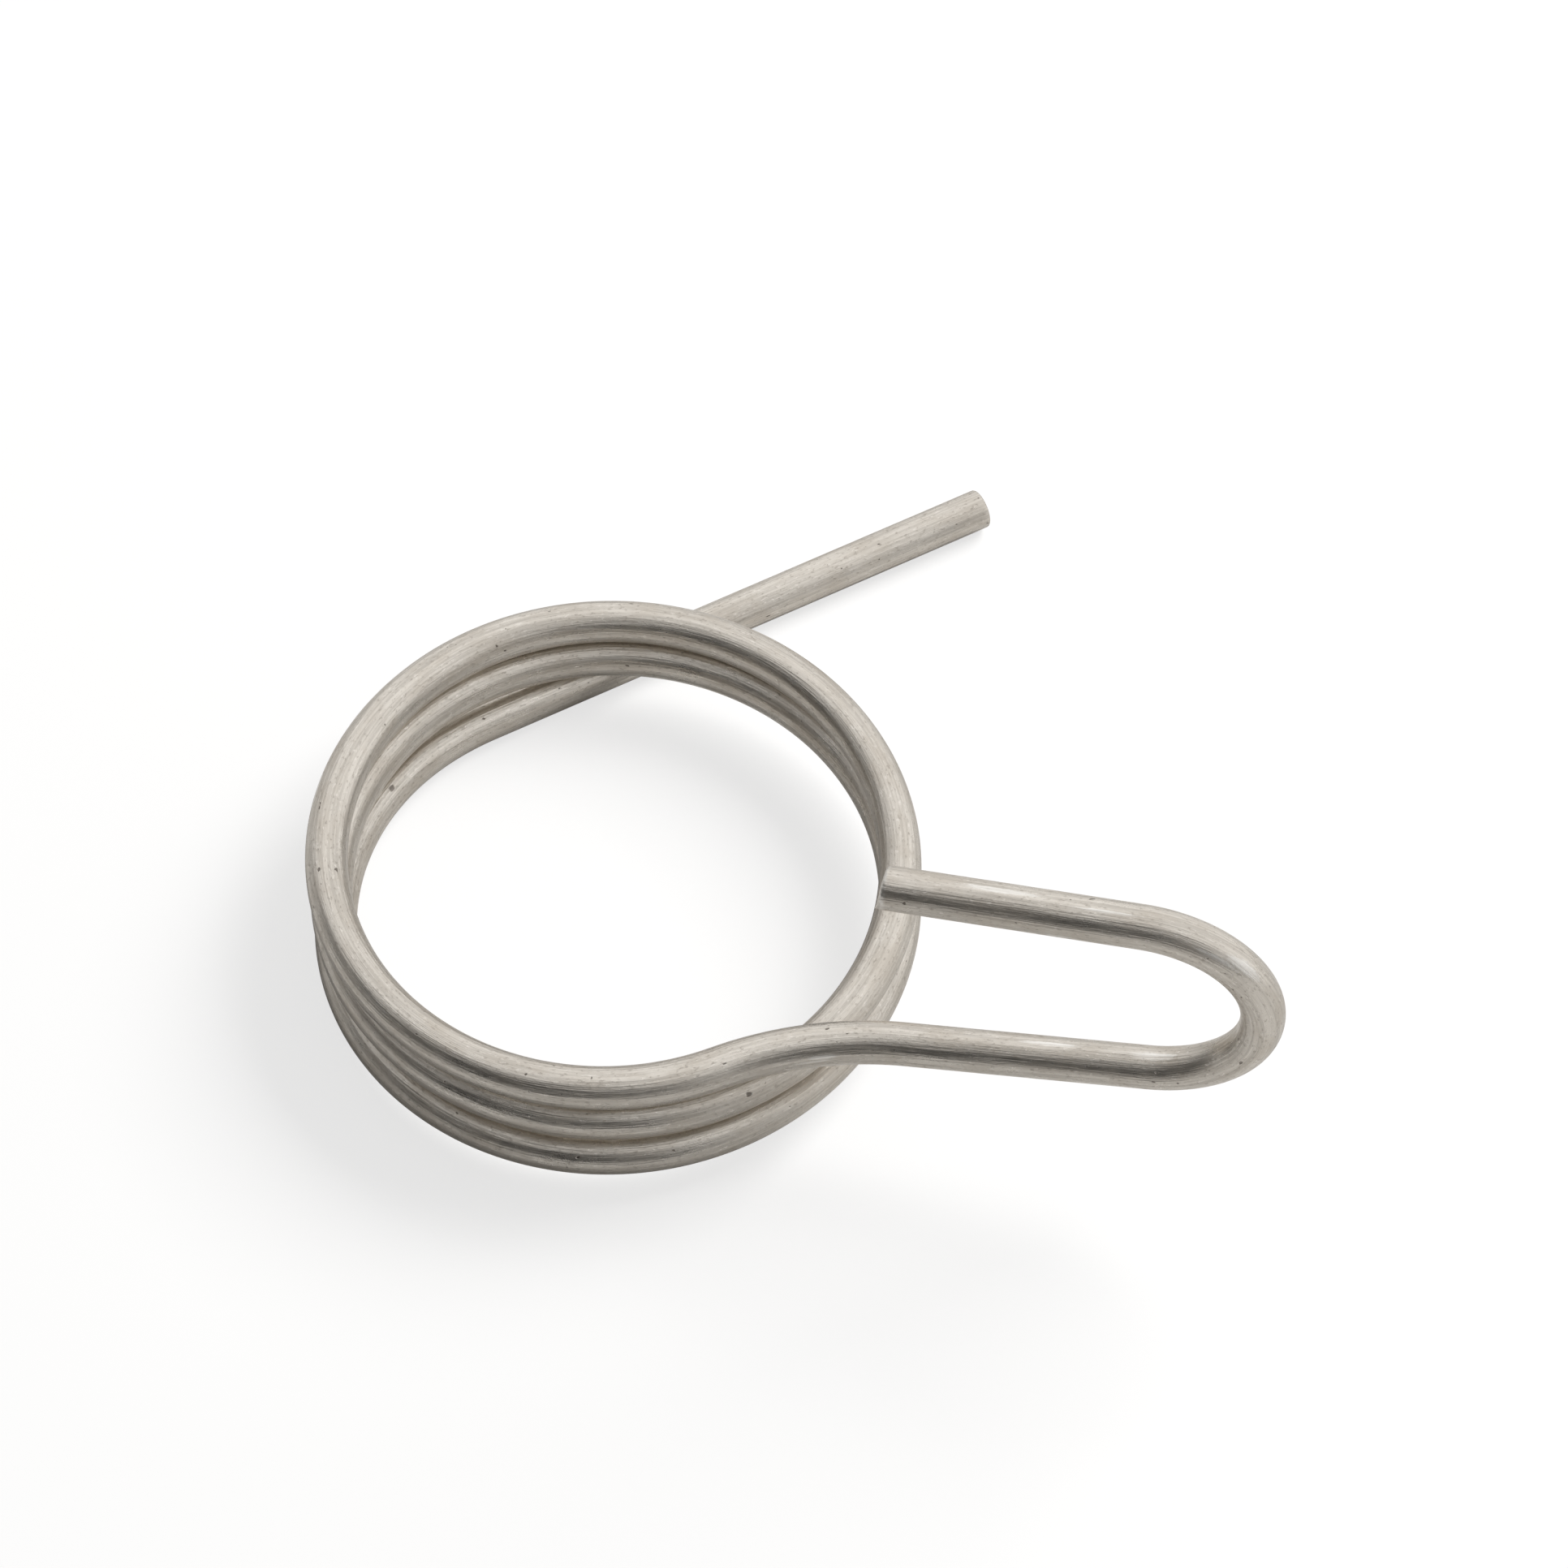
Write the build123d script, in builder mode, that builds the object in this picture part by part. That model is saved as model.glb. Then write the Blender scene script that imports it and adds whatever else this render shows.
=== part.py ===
from build123d import *
import math
import os

os.makedirs("parts", exist_ok=True)

# Driving dimensions, in millimetres and degrees.
wire_diameter = 2.5
coil_mean_diameter = 33.9
turn_gap = 0.2
whole_turns = 2
leg_length = 34.5
leg_heading = 40.1
exit_bend_angle = 33.3
exit_bend_radius = 18.2
hook_leg_length = 14.0
hook_leg_rise = 8.5
hook_bend_radius = 7.0
hook_bend_angle = 173.4
return_leg_length = 14.3
end_round = 0.15
blend_length = 10.0

# Sizes that follow from the driving ones.
wire_radius = wire_diameter / 2
coil_radius = coil_mean_diameter / 2
coil_pitch = wire_diameter + turn_gap
start_angle = leg_heading + 90
swept_angle = 360 * whole_turns + 180 + exit_bend_angle - leg_heading
coil_turns = swept_angle / 360
coil_height = coil_pitch * coil_turns
coil_slope = coil_pitch / (math.pi * coil_mean_diameter)
coil_base = wire_radius + blend_length * coil_slope / 2

# The straight leg lies flat and curves up gently into the foot of the coil.
leg_direction = Vector(1, 0, 0).rotate(Axis.Z, leg_heading)
leg_line = Vector(coil_radius, 0, wire_radius).rotate(Axis.Z, start_angle)
leg_root = leg_line + leg_direction * blend_length
leg_end = leg_line + leg_direction * leg_length

# The hook stands in the upright plane that holds its leg, heading along X.
rise = math.radians(hook_leg_rise)
hook_heading = Vector(math.cos(rise), 0, math.sin(rise))
hook_upward = Vector(-math.sin(rise), 0, math.cos(rise))
half_bend = math.radians(hook_bend_angle / 2)
full_bend = math.radians(hook_bend_angle)

with BuildPart() as spring_wire:
    with BuildLine() as wire_path:
        coil = Helix(
            pitch=coil_pitch,
            height=coil_height,
            radius=coil_radius,
            center=(0, 0, coil_base),
            mode=Mode.PRIVATE,
        ).rotate(Axis.Z, start_angle)
        leg = Line(leg_end, leg_root)
        Spline(leg_root, coil @ 0, tangents=(leg_direction * -1, coil % 0))
        add(coil)

        # The wire leaves the coil in a gentle bend that turns it outwards.
        exit_tangent = coil % 1
        turn = math.radians(exit_tangent.get_angle(hook_heading))
        sideways = hook_heading - exit_tangent * math.cos(turn)
        sideways = sideways.normalized()
        bend_along = exit_bend_radius * math.sin(turn)
        bend_across = exit_bend_radius * (1 - math.cos(turn))
        bend_end = coil @ 1 + exit_tangent * bend_along + sideways * bend_across
        TangentArc(coil @ 1, bend_end, tangent=exit_tangent)

        # The hook: a rising leg, a bend back over itself, and a return leg.
        hook_root = bend_end + hook_heading * hook_leg_length
        Line(bend_end, hook_root)
        hook_centre = hook_root + hook_upward * hook_bend_radius
        reach_half = hook_heading * math.sin(half_bend) - hook_upward * math.cos(half_bend)
        reach_full = hook_heading * math.sin(full_bend) - hook_upward * math.cos(full_bend)
        hook_crown = hook_centre + reach_half * hook_bend_radius
        hook_return = hook_centre + reach_full * hook_bend_radius
        ThreePointArc(hook_root, hook_crown, hook_return)
        return_heading = hook_heading * math.cos(full_bend) + hook_upward * math.sin(full_bend)
        free_end = hook_return + return_heading * return_leg_length
        Line(hook_return, free_end)

    with BuildSketch(Plane(origin=leg_end, z_dir=leg_direction * -1)) as wire_section:
        Circle(wire_radius)
    sweep(path=wire_path.wire())

    # Both cut ends have their sharp edge taken off.
    leg_face = spring_wire.faces().sort_by_distance(leg_end)[0]
    free_face = spring_wire.faces().sort_by_distance(free_end)[0]
    fillet(leg_face.edges() + free_face.edges(), radius=end_round)

spring_wire.part.label = "spring_wire"
export_step(spring_wire.part, "parts/spring_wire.step")
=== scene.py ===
import math

import bpy
import numpy as np
from mathutils import Matrix, Vector


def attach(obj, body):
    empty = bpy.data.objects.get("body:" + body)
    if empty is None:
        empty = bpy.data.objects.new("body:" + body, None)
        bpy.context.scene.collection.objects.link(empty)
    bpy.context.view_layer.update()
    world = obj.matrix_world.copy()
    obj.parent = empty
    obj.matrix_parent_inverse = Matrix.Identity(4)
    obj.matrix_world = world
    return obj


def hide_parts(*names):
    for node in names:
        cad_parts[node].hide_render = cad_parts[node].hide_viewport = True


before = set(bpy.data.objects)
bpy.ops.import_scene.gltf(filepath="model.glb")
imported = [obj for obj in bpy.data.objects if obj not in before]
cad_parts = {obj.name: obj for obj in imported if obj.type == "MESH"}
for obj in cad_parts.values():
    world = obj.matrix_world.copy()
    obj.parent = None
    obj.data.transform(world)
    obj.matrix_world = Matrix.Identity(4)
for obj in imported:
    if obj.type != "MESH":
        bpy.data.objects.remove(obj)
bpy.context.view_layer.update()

MM = 0.001

# The wire's route in millimetres and degrees: the CAD model's sizes, and BLEND, over which the coil's
# foot eases up off the floor.
WIRE_R = 1.25
COIL_R = 16.95
COIL_PITCH = 2.70
WHOLE_TURNS = 2
LEG_LENGTH = 34.5
LEG_HEADING = 40.1
EXIT_ANGLE = 33.3
EXIT_R = 18.2
HOOK_LEG = 14.0
HOOK_RISE = 8.5
HOOK_R = 7.0
HOOK_ANGLE = 173.4
RETURN_LEG = 14.3
BLEND = 2.5

# How the real coil strays from an even one, in millimetres: its middle stands high, its halves differ,
# its axis leans and bows (in X and Y), it is oval about OVAL_HEADING in degrees, and it widens upwards.
COIL_BELLY = 0.10
COIL_SKEW = 0.03
COIL_LEAN = (-0.55, 1.46)
COIL_BOW = (-0.02, 0.22)
COIL_OVAL = -0.15
OVAL_HEADING = 11.1
COIL_FLARE = 0.11

# Marks: place along the wire in mm, place round it in degrees, half size in mm, and how many times
# longer than wide.
PITS = [(193.2, 63, 0.17, 1.2), (43.1, 333, 0.16, 1.5), (71.4, 117, 0.13, 1.0), (350.2, 81, 0.10, 1.6),
        (268.0, 40, 0.11, 1.3), (330.5, 100, 0.10, 2.0), (310.0, 250, 0.14, 1.4), (120.0, 200, 0.15, 1.3)]
RUBS = [(188.0, 131, 0.045, 70.0), (304.7, 87, 0.22, 5.0), (304.0, 100, 0.10, 14.0), (324.2, 21, 0.30, 6.0),
        (339.1, 168, 0.35, 4.0), (340.6, 150, 0.16, 9.0), (318.0, 12, 0.16, 12.0), (349.0, 95, 0.13, 8.0),
        (352.5, 205, 0.20, 12.0), (346.5, 190, 0.12, 16.0), (262.0, 80, 0.12, 12.0), (96.0, 300, 0.20, 9.0)]

# The straight leg's end: a flat face with a small worn edge, in mm.
LEG_EDGE = 0.16

# The hook's sheared end. CUT_SIDE is where round the wire its burr is, in radians; the rest is in mm.
CUT_SIDE = 0.9
CUT_ROLL = 0.26
CUT_ROLL_CHANGE = 0.20
CUT_SLANT = 0.10
CUT_BURR = 0.26
CUT_DISH = 0.10

# Mesh fineness, and how many rings at each end of the route are left to the end shapes.
RING_STEP = 0.24
RING_SIDES = 48
LEG_END_SKIP = 2
HOOK_END_SKIP = 4

# The steel's colours: between and on its draw lines, its dull patches, its specks and its marks.
STEEL_DARK = (0.57, 0.53, 0.475, 1.0)
STEEL_LIGHT = (0.79, 0.74, 0.67, 1.0)
STEEL_DULL = (0.60, 0.54, 0.465, 1.0)
SPECK_DARK = (0.30, 0.26, 0.22, 1.0)
SPECK_BRIGHT = (0.92, 0.87, 0.80, 1.0)
TORN_FACE = (0.34, 0.31, 0.27, 1.0)
RUBBED = (0.95, 0.92, 0.87, 1.0)
PIT_DARK = (0.10, 0.08, 0.065, 1.0)
WHITE = (1.0, 1.0, 1.0, 1.0)

# The floor's half width in metres, its grey for lighting the wire and as the camera sees it, and how much
# it glows for the camera and in reflections.
FLOOR_HALF = 1.5
FLOOR_GREY = (0.62, 0.62, 0.62, 1.0)
FLOOR_GREY_SEEN = (0.32, 0.32, 0.32, 1.0)
FLOOR_GLOW_SEEN = 0.70
FLOOR_GLOW_MIRROR = 0.02

# The studio's light: where it is strongest, its weakest strength, and how much more it is at its strongest.
STUDIO_TOWARD = (0.40, 0.80, 0.45)
STUDIO_TINT = (1.0, 0.99, 0.975, 1.0)
STUDIO_WEAK = 0.045
STUDIO_GAIN = 0.45

# The key lamp, in metres and watts.
KEY_PLACE = (0.30, 0.34, 0.42)
KEY_SIZE = (0.35, 0.35)
KEY_POWER = 4.0
KEY_TINT = (1.0, 0.99, 0.97)

# The camera: lens in mm, angles in degrees, place in mm before the turn about the coil's axis.
CAMERA_LENS = 123.6
CAMERA_SENSOR = 36.0
CAMERA_TURN = 11.107
CAMERA_PITCH = 54.951
CAMERA_ROLL = 0.577
CAMERA_PLACE = (9.89, -177.88, 268.22)


def unit(v):
    return v / np.linalg.norm(v)


def arc(start, along, across, radius, angle):
    """Points on an arc that leaves start heading along and turns towards across, without its first point."""
    a = np.linspace(0, angle, max(4, int(radius * angle / RING_STEP)))[1:, None]
    return start + radius * (np.sin(a) * along + (1 - np.cos(a)) * across)


def run(start, heading, length):
    """Points on a straight line from start, without its first point."""
    s = np.linspace(0, length, max(2, int(length / RING_STEP)))[1:, None]
    return start + s * heading


def wire_route():
    """The wire's centre line from the straight leg's end to the hook's free end, in millimetres."""
    head = math.radians(LEG_HEADING)
    leg_dir = np.array([math.cos(head), math.sin(head), 0.0])
    foot_angle = head + math.pi / 2
    swept = math.radians(360 * WHOLE_TURNS + 180 + EXIT_ANGLE - LEG_HEADING)
    slope = COIL_PITCH / (2 * math.pi * COIL_R)
    n = int(swept * COIL_R / RING_STEP)
    share = np.linspace(0, 1, n)
    turned = swept * share
    a = foot_angle + turned
    ease = np.clip(turned * COIL_R / BLEND, 0, 1)
    rise = COIL_R * slope * turned - slope * BLEND * 0.5 * ease * (2 - ease)
    # bow is 0 at the coil's two ends and 1 halfway up.
    bow = np.sin(math.pi * share)
    rise = rise + COIL_BELLY * bow**2 + COIL_SKEW * np.sin(2 * math.pi * share)
    settle = np.clip(share / 0.08, 0, 1)
    oval = COIL_OVAL * np.cos(2 * (a - math.radians(OVAL_HEADING))) * settle**2 * (3 - 2 * settle)
    radius = COIL_R + oval + COIL_FLARE * (share - 0.5)
    lean_x = COIL_LEAN[0] * (share - 0.5) + COIL_BOW[0] * bow
    lean_y = COIL_LEAN[1] * (share - 0.5) + COIL_BOW[1] * bow
    coil = np.stack([radius * np.cos(a) + lean_x, radius * np.sin(a) + lean_y, WIRE_R + rise], 1)
    leg = run(coil[0], leg_dir, LEG_LENGTH)[::-1]
    parts = [leg, coil]
    tangent = unit(coil[-1] - coil[-2])
    up = math.radians(HOOK_RISE)
    hook_dir = np.array([math.cos(up), 0.0, math.sin(up)])
    hook_up = np.array([-math.sin(up), 0.0, math.cos(up)])
    turn = math.acos(float(tangent @ hook_dir))
    across = unit(hook_dir - tangent * math.cos(turn))
    parts.append(arc(coil[-1], tangent, across, EXIT_R, turn))
    parts.append(run(parts[-1][-1], hook_dir, HOOK_LEG))
    bend = math.radians(HOOK_ANGLE)
    parts.append(arc(parts[-1][-1], hook_dir, hook_up, HOOK_R, bend))
    back = hook_dir * math.cos(bend) + hook_up * math.sin(bend)
    parts.append(run(parts[-1][-1], back, RETURN_LEG))
    return np.concatenate(parts)


def even(points, step):
    """The same line with evenly spaced points."""
    gaps = np.linalg.norm(np.diff(points, axis=0), axis=1)
    s = np.concatenate([[0], np.cumsum(gaps)])
    t = np.linspace(0, s[-1], int(s[-1] / step) + 1)
    return np.stack([np.interp(t, s, points[:, k]) for k in range(3)], 1), t


def frames(points):
    """Tangents, and side vectors carried along without twist that start pointing up."""
    tangent = np.gradient(points, axis=0)
    tangent /= np.linalg.norm(tangent, axis=1)[:, None]
    up = np.zeros_like(points)
    u = np.array([0.0, 0.0, 1.0])
    for i, t in enumerate(tangent):
        u = unit(u - t * float(u @ t))
        up[i] = u
    side = np.cross(tangent, up)
    return tangent, up, side


def wire_mesh():
    """The wire as one closed tube, and its length in millimetres."""
    points, s = even(wire_route(), RING_STEP)
    tangent, up, side = frames(points)
    theta = np.linspace(0, 2 * math.pi, RING_SIDES, endpoint=False)
    verts, coords = [], []

    def ring(i, radius, push, turn_in=0.0):
        """One ring: push moves each of its points along the wire."""
        radius = np.broadcast_to(radius, theta.shape)
        push = np.broadcast_to(push, theta.shape)
        c, sn = np.cos(theta), np.sin(theta)
        p = points[i] + (radius * c)[:, None] * up[i] + (radius * sn)[:, None] * side[i]
        p = p + push[:, None] * tangent[i]
        verts.append(p)
        coords.append(np.stack([radius * c, radius * sn, s[i] + push], 1))

    # The straight leg's end: a slightly wavy face, then its worn edge.
    flat = WIRE_R - LEG_EDGE
    for k in range(7):
        ring(0, flat * (k + 1) / 8, 0.02 * math.cos(k))
    for k in range(5):
        q = math.pi / 2 * k / 4
        ring(0, flat + LEG_EDGE * math.sin(q), LEG_EDGE * (1 - math.cos(q)))
    for i in range(LEG_END_SKIP, len(points) - HOOK_END_SKIP):
        ring(i, WIRE_R, 0.0)
    # The hook's end: sheared at a slant, rolled over where the blade came in and burred where it left.
    low = np.cos(theta - CUT_SIDE)
    roll = CUT_ROLL - CUT_ROLL_CHANGE * low
    slant = CUT_SLANT * low
    torn = 1 + 0.5 * np.sin(5 * theta) + 0.4 * np.sin(11 * theta)
    burr = CUT_BURR * np.clip(low - 0.25, 0, 1) ** 2 * torn
    for k in range(9):
        q = math.pi / 2 * k / 8
        along = roll * (math.sin(q) - 1) + (slant + burr) * (k / 8) ** 2
        ring(len(points) - 1, WIRE_R - roll * (1 - math.cos(q)) + 0.05 * burr * k / 8, along)
    for k in range(12):
        f = 1 - (k + 1) / 13
        rough = 0.035 * np.sin(3.1 * theta + 2.0 * k) + 0.03 * np.sin(7.0 * theta - k)
        dish = -CUT_DISH * (1 - f * f)
        ring(len(points) - 1, (WIRE_R - roll) * f, slant * f + burr * f**8 + rough * f + dish)
    # The two middle points close the tube.
    rings = len(verts)
    verts.append(np.array([points[0]]))
    coords.append(np.array([[0, 0, s[0]]]))
    verts.append(np.array([points[-1]]))
    coords.append(np.array([[0, 0, s[-1]]]))
    n = RING_SIDES
    faces = []
    for r in range(rings - 1):
        for k in range(n):
            a, b = r * n + k, r * n + (k + 1) % n
            faces.append((a, b, b + n, a + n))
    start, end = rings * n, rings * n + 1
    last_row = (rings - 1) * n
    for k in range(n):
        faces.append((start, (k + 1) % n, k))
        faces.append((end, last_row + k, last_row + (k + 1) % n))
    mesh = bpy.data.meshes.new("spring")
    mesh.from_pydata((np.concatenate(verts) * MM).tolist(), [], faces)
    attribute = mesh.attributes.new("wire_coord", "FLOAT_VECTOR", "POINT")
    attribute.data.foreach_set("vector", np.concatenate(coords).astype(np.float32).ravel())
    for f in mesh.polygons:
        f.use_smooth = True
    mesh.update()
    return mesh, s[-1]


class Nodes:
    """Short calls for building a node tree."""

    def __init__(self, tree):
        self.tree = tree

    def add(self, kind, **values):
        """A new node. in_NAME or in_NUMBER sets or links that input; any other name is a property."""
        node = self.tree.nodes.new(kind)
        for name, value in values.items():
            if name.startswith("in_"):
                key = name[3:]
                key = int(key) if key.isdigit() else key.replace("_", " ")
                socket = node.inputs[key]
                if isinstance(value, bpy.types.NodeSocket):
                    self.tree.links.new(value, socket)
                else:
                    socket.default_value = value
            else:
                setattr(node, name, value)
        return node

    def math(self, op, a, b=0.0, clamp=False):
        return self.add("ShaderNodeMath", operation=op, use_clamp=clamp, in_0=a, in_1=b).outputs[0]

    def remap(self, value, low, high, to_low=0.0, to_high=1.0):
        """A smooth step from to_low to to_high as value goes from low to high."""
        node = self.add("ShaderNodeMapRange", in_0=value, in_1=low, in_2=high, in_3=to_low, in_4=to_high)
        node.interpolation_type = "SMOOTHSTEP"
        return node.outputs[0]

    def vector(self, op, a, b):
        return self.add("ShaderNodeVectorMath", operation=op, in_0=a, in_1=b).outputs[0]

    def length(self, vector):
        return self.add("ShaderNodeVectorMath", operation="LENGTH", in_0=vector).outputs["Value"]

    def stretched(self, coord, across, along):
        """The wire's coordinate scaled across and along the wire."""
        return self.vector("MULTIPLY", coord, (across, across, along))

    def noise(self, coord, scale, detail=2.0, rough=0.5):
        node = self.add(
            "ShaderNodeTexNoise", in_Vector=coord, in_Scale=scale, in_Detail=detail, in_Roughness=rough
        )
        return node.outputs[0]

    def spot(self, coord, place, turn, size, stretch, ragged):
        """A ragged spot on the wire: place in mm along it, turn in degrees round it, size in mm."""
        a = math.radians(turn)
        middle = (WIRE_R * math.cos(a), WIRE_R * math.sin(a), place)
        away = self.vector("SUBTRACT", coord, middle)
        reach = self.length(self.stretched(away, 1.0 / size, 1.0 / (size * stretch)))
        reach = self.math("ADD", reach, self.math("MULTIPLY", ragged, 1.2))
        return self.remap(reach, 1.7, 1.1)

    def mix(self, factor, a, b):
        """Colour a where factor is 0, and colour b where it is 1."""
        node = self.add("ShaderNodeMix", data_type="RGBA")
        for index, value in ((0, factor), (6, a), (7, b)):
            if isinstance(value, bpy.types.NodeSocket):
                self.tree.links.new(value, node.inputs[index])
            else:
                node.inputs[index].default_value = value
        return node.outputs[2]


def steel_material(length):
    """Bare drawn wire. Its noise follows wire_coord, the wire's own coordinate in millimetres."""
    material = bpy.data.materials.new("spring_steel")
    material.use_nodes = True
    tree = material.node_tree
    tree.nodes.clear()
    n = Nodes(tree)
    coord = n.add("ShaderNodeAttribute", attribute_name="wire_coord").outputs["Vector"]
    # Draw lines run along the wire: noise squeezed around it and stretched along it.
    fine = n.noise(n.stretched(coord, 7.0, 0.16), 1.0, 3.0, 0.65)
    broad = n.noise(n.stretched(coord, 2.0, 0.05), 1.0, 2.0, 0.5)
    # Rubbed and dull patches a few millimetres long.
    blotch = n.noise(n.stretched(coord, 0.8, 0.30), 1.0, 4.0, 0.6)
    # Fine speckle, a little longer along the wire than around it.
    speckle = n.noise(n.stretched(coord, 6.5, 3.0), 1.0, 2.0, 0.6)
    sparkle = n.noise(n.stretched(coord, 6.0, 2.2), 1.0, 3.0, 0.7)
    pits = n.noise(n.stretched(coord, 2.6, 1.8), 1.0, 1.0, 0.4)
    pit = n.remap(pits, 0.765, 0.80)
    lines = n.math("ADD", n.math("MULTIPLY", fine, 0.65), n.math("MULTIPLY", broad, 0.35))
    colour = n.mix(n.remap(lines, 0.36, 0.62), STEEL_DARK, STEEL_LIGHT)
    colour = n.mix(n.remap(blotch, 0.42, 0.68, 0.0, 0.5), colour, STEEL_DULL)
    colour = n.mix(n.remap(speckle, 0.55, 0.74, 0.0, 0.45), colour, SPECK_DARK)
    colour = n.mix(n.remap(sparkle, 0.57, 0.70, 0.0, 0.55), colour, SPECK_BRIGHT)
    # Single pits, and bright rubbed places, where the wire has them.
    for place, turn, size, stretch in PITS:
        pit = n.math("MAXIMUM", pit, n.spot(coord, place, turn, size, stretch, speckle))
    rub = 0.0
    for place, turn, size, stretch in RUBS:
        rub = n.math("MAXIMUM", rub, n.spot(coord, place, turn, size, stretch, sparkle))
    rub = n.math("MULTIPLY", rub, n.remap(fine, 0.35, 0.6, 0.35, 1.0))
    # The sheared end: a bright torn edge round a dull, broken face.
    along = n.add("ShaderNodeSeparateXYZ", in_0=coord).outputs["Z"]
    off_axis = n.length(n.stretched(coord, 1.0, 0.0))
    edge = n.math("MULTIPLY", n.remap(along, length - 0.45, length - 0.15), n.remap(off_axis, 0.80, 1.05))
    edge = n.math("MULTIPLY", edge, n.remap(sparkle, 0.35, 0.60, 0.25, 1.0))
    rub = n.math("MAXIMUM", rub, edge)
    face = n.math("MULTIPLY", n.remap(along, length - 0.30, length - 0.10), n.remap(off_axis, 1.00, 0.70))
    colour = n.mix(n.math("MULTIPLY", face, 0.6), colour, TORN_FACE)
    colour = n.mix(rub, colour, RUBBED)
    colour = n.mix(n.math("MULTIPLY", pit, 0.75), colour, PIT_DARK)
    rough = n.remap(blotch, 0.3, 0.7, 0.26, 0.38)
    rough = n.math("ADD", rough, n.remap(speckle, 0.5, 0.75, 0.0, 0.12))
    rough = n.math("SUBTRACT", rough, n.remap(sparkle, 0.60, 0.72, 0.0, 0.10))
    rough = n.math("ADD", rough, n.math("MULTIPLY", face, 0.2))
    # The relief, in millimetres.
    height = n.math("ADD", n.math("MULTIPLY", fine, 0.035), n.math("MULTIPLY", speckle, 0.012))
    height = n.math("SUBTRACT", height, n.math("MULTIPLY", pit, 0.03))
    bump = n.add("ShaderNodeBump", in_Strength=1.0, in_Distance=MM, in_Height=height).outputs[0]
    shader = n.add(
        "ShaderNodeBsdfPrincipled", in_Base_Color=colour, in_Metallic=1.0, in_Roughness=rough, in_Normal=bump
    )
    n.add("ShaderNodeOutputMaterial", in_Surface=shader.outputs[0])
    return material


def floor_material():
    """A floor that looks nearly white and keeps the spring's shadow."""
    material = bpy.data.materials.new("pale_floor")
    material.use_nodes = True
    tree = material.node_tree
    tree.nodes.clear()
    n = Nodes(tree)
    path = n.add("ShaderNodeLightPath")
    mirror = n.math("ADD", path.outputs["Is Glossy Ray"], path.outputs["Is Transmission Ray"])
    seen = n.math("MULTIPLY", path.outputs["Is Camera Ray"], FLOOR_GLOW_SEEN)
    glow = n.math("ADD", seen, n.math("MULTIPLY", mirror, FLOOR_GLOW_MIRROR))
    tone = n.mix(path.outputs["Is Camera Ray"], FLOOR_GREY, FLOOR_GREY_SEEN)
    diffuse = n.add("ShaderNodeBsdfDiffuse", in_Color=tone).outputs[0]
    emission = n.add("ShaderNodeEmission", in_Color=WHITE, in_Strength=glow).outputs[0]
    both = n.add("ShaderNodeAddShader", in_0=diffuse, in_1=emission).outputs[0]
    n.add("ShaderNodeOutputMaterial", in_Surface=both)
    return material


def world_light():
    """A white background, with the studio light strong from the back right and weak from the front left."""
    world = bpy.data.worlds.new("studio")
    bpy.context.scene.world = world
    world.use_nodes = True
    tree = world.node_tree
    tree.nodes.clear()
    n = Nodes(tree)
    path = n.add("ShaderNodeLightPath")
    direction = n.add("ShaderNodeTexCoord").outputs["Generated"]
    toward = Vector(STUDIO_TOWARD).normalized()
    facing = n.add("ShaderNodeVectorMath", operation="DOT_PRODUCT", in_0=direction, in_1=toward)
    share = n.remap(facing.outputs["Value"], -0.60, 0.85)
    room = n.math("ADD", n.math("MULTIPLY", share, STUDIO_GAIN), STUDIO_WEAK)
    background = n.add("ShaderNodeBackground", in_Color=STUDIO_TINT, in_Strength=room).outputs[0]
    white = n.add("ShaderNodeBackground", in_Color=WHITE, in_Strength=1.0).outputs[0]
    mirror = n.math("ADD", path.outputs["Is Glossy Ray"], path.outputs["Is Transmission Ray"])
    factor = n.math("ADD", path.outputs["Is Camera Ray"], n.math("MULTIPLY", mirror, share), True)
    final = n.add("ShaderNodeMixShader", in_0=factor, in_1=background, in_2=white).outputs[0]
    n.add("ShaderNodeOutputWorld", in_Surface=final)


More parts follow.
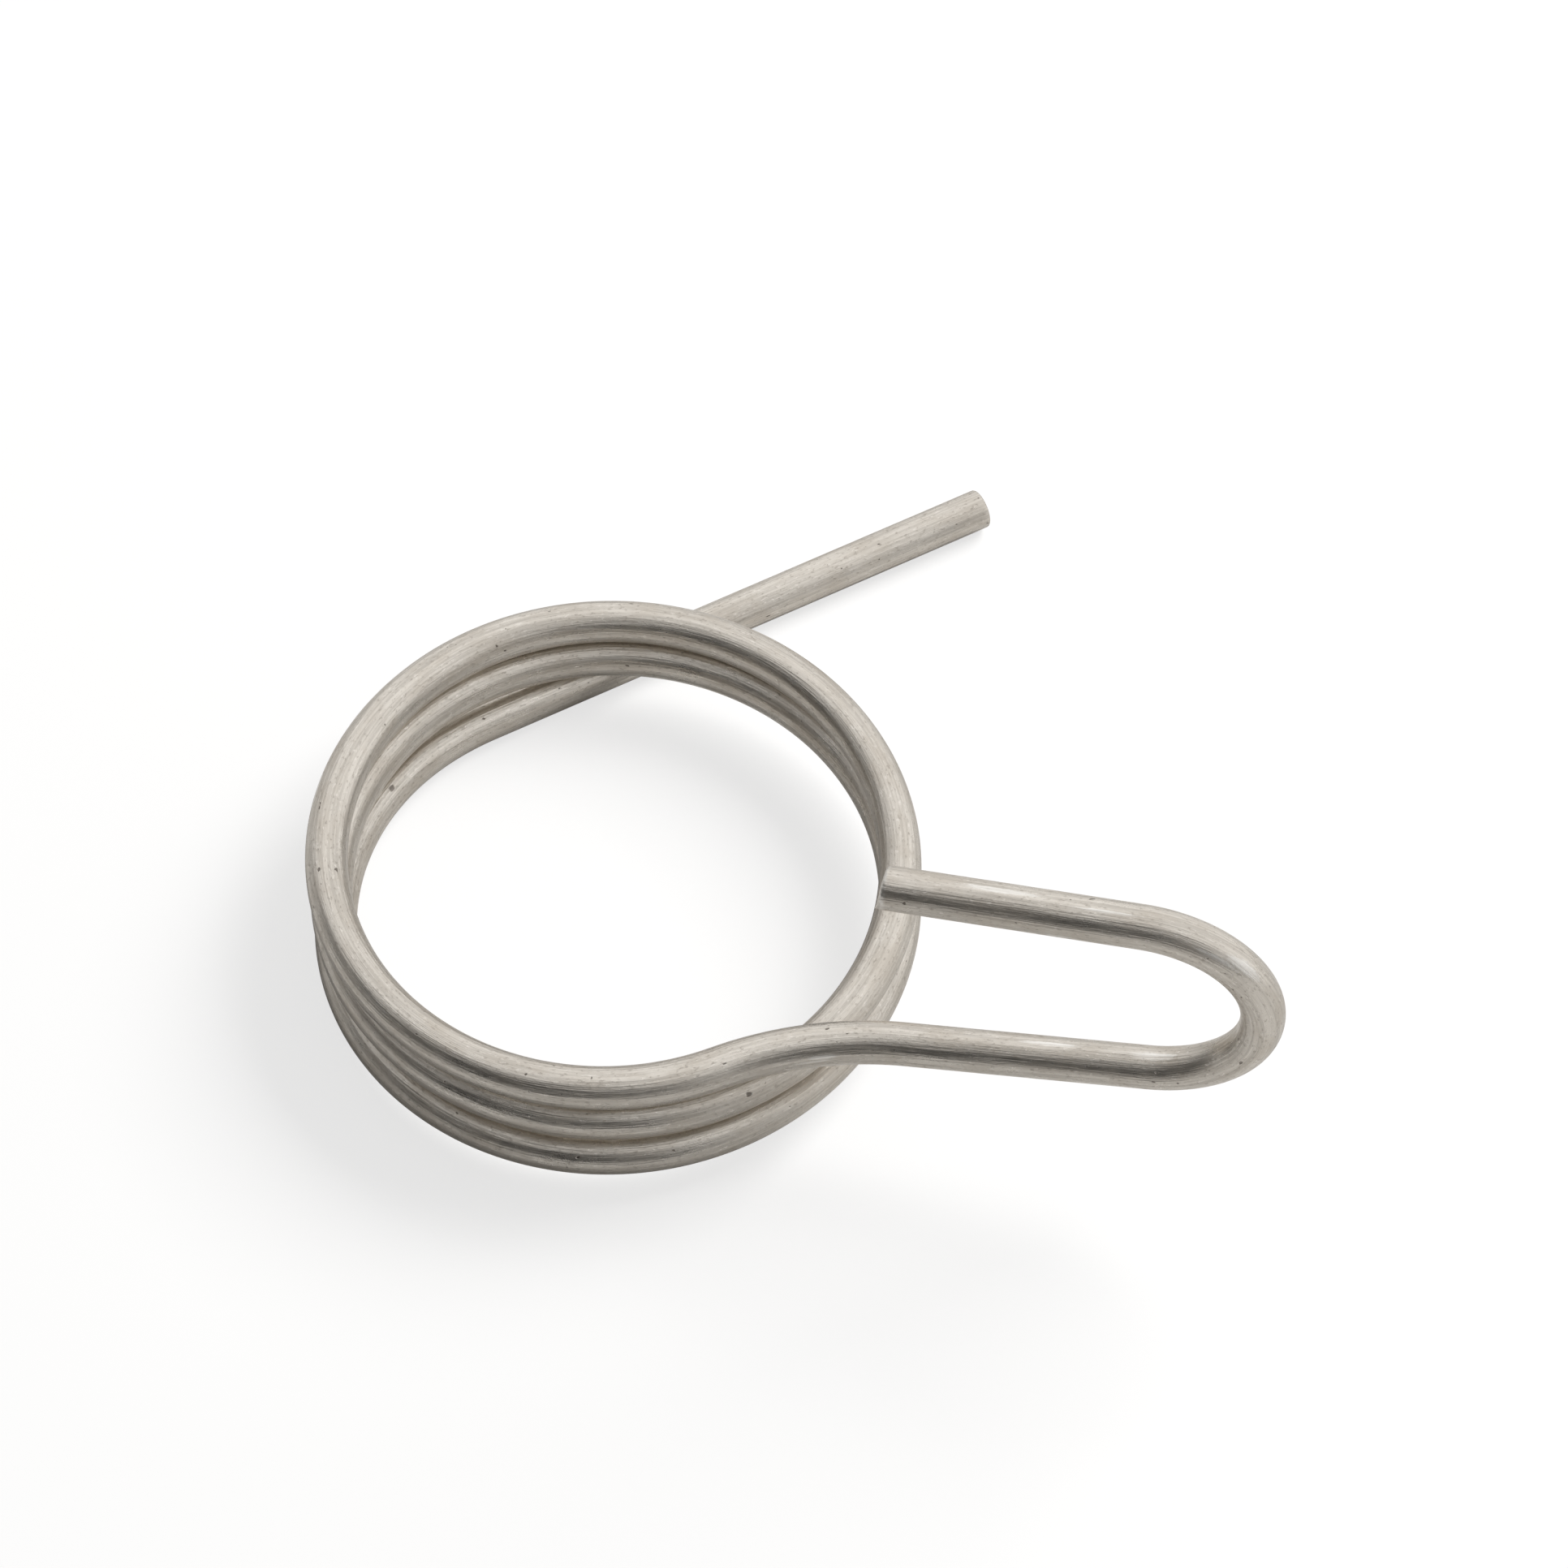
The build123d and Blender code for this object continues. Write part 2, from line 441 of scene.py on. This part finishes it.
def lamp(name, place, target, size, power, colour):
    """A soft lamp that lights the spring but is not itself reflected in it."""
    data = bpy.data.lights.new(name, "AREA")
    data.shape = "RECTANGLE"
    data.size, data.size_y = size
    data.energy = power
    data.color = colour
    obj = bpy.data.objects.new(name, data)
    bpy.context.scene.collection.objects.link(obj)
    obj.location = place
    obj.rotation_euler = (Vector(target) - Vector(place)).to_track_quat("-Z", "Y").to_euler()
    obj.visible_glossy = False


def make_camera():
    """The camera stands in front and looks down on the coil."""
    data = bpy.data.cameras.new("camera")
    data.lens = CAMERA_LENS
    data.sensor_width = CAMERA_SENSOR
    data.sensor_fit = "HORIZONTAL"
    data.clip_start = 0.01
    data.clip_end = 20.0
    turn = math.radians(CAMERA_TURN)
    pitch = math.radians(CAMERA_PITCH)
    roll = math.radians(CAMERA_ROLL)
    place = Vector(CAMERA_PLACE) * MM
    forward = Vector((0, math.cos(pitch), -math.sin(pitch)))
    right = Vector((1, 0, 0))
    up = right.cross(forward)
    right, up = math.cos(roll) * right + math.sin(roll) * up, math.cos(roll) * up - math.sin(roll) * right
    axes = Matrix((right, up, -forward)).transposed().to_4x4()
    obj = bpy.data.objects.new("camera", data)
    obj.matrix_world = Matrix.Rotation(turn, 4, "Z") @ Matrix.Translation(place) @ axes
    bpy.context.scene.collection.objects.link(obj)
    bpy.context.scene.camera = obj


make_camera()
world_light()

mesh, wire_length = wire_mesh()
spring = bpy.data.objects.new("spring", mesh)
bpy.context.scene.collection.objects.link(spring)
spring.data.materials.append(steel_material(wire_length))
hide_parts("spring_wire")
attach(spring, "root")

floor_mesh = bpy.data.meshes.new("floor")
corners = [(x * FLOOR_HALF, y * FLOOR_HALF, 0) for x, y in ((-1, -1), (1, -1), (1, 1), (-1, 1))]
floor_mesh.from_pydata(corners, [], [(0, 1, 2, 3)])
floor = bpy.data.objects.new("floor", floor_mesh)
bpy.context.scene.collection.objects.link(floor)
floor.data.materials.append(floor_material())

lamp("key", KEY_PLACE, (0, 0, 0), KEY_SIZE, KEY_POWER, KEY_TINT)
bpy.context.scene.view_settings.view_transform = "Standard"
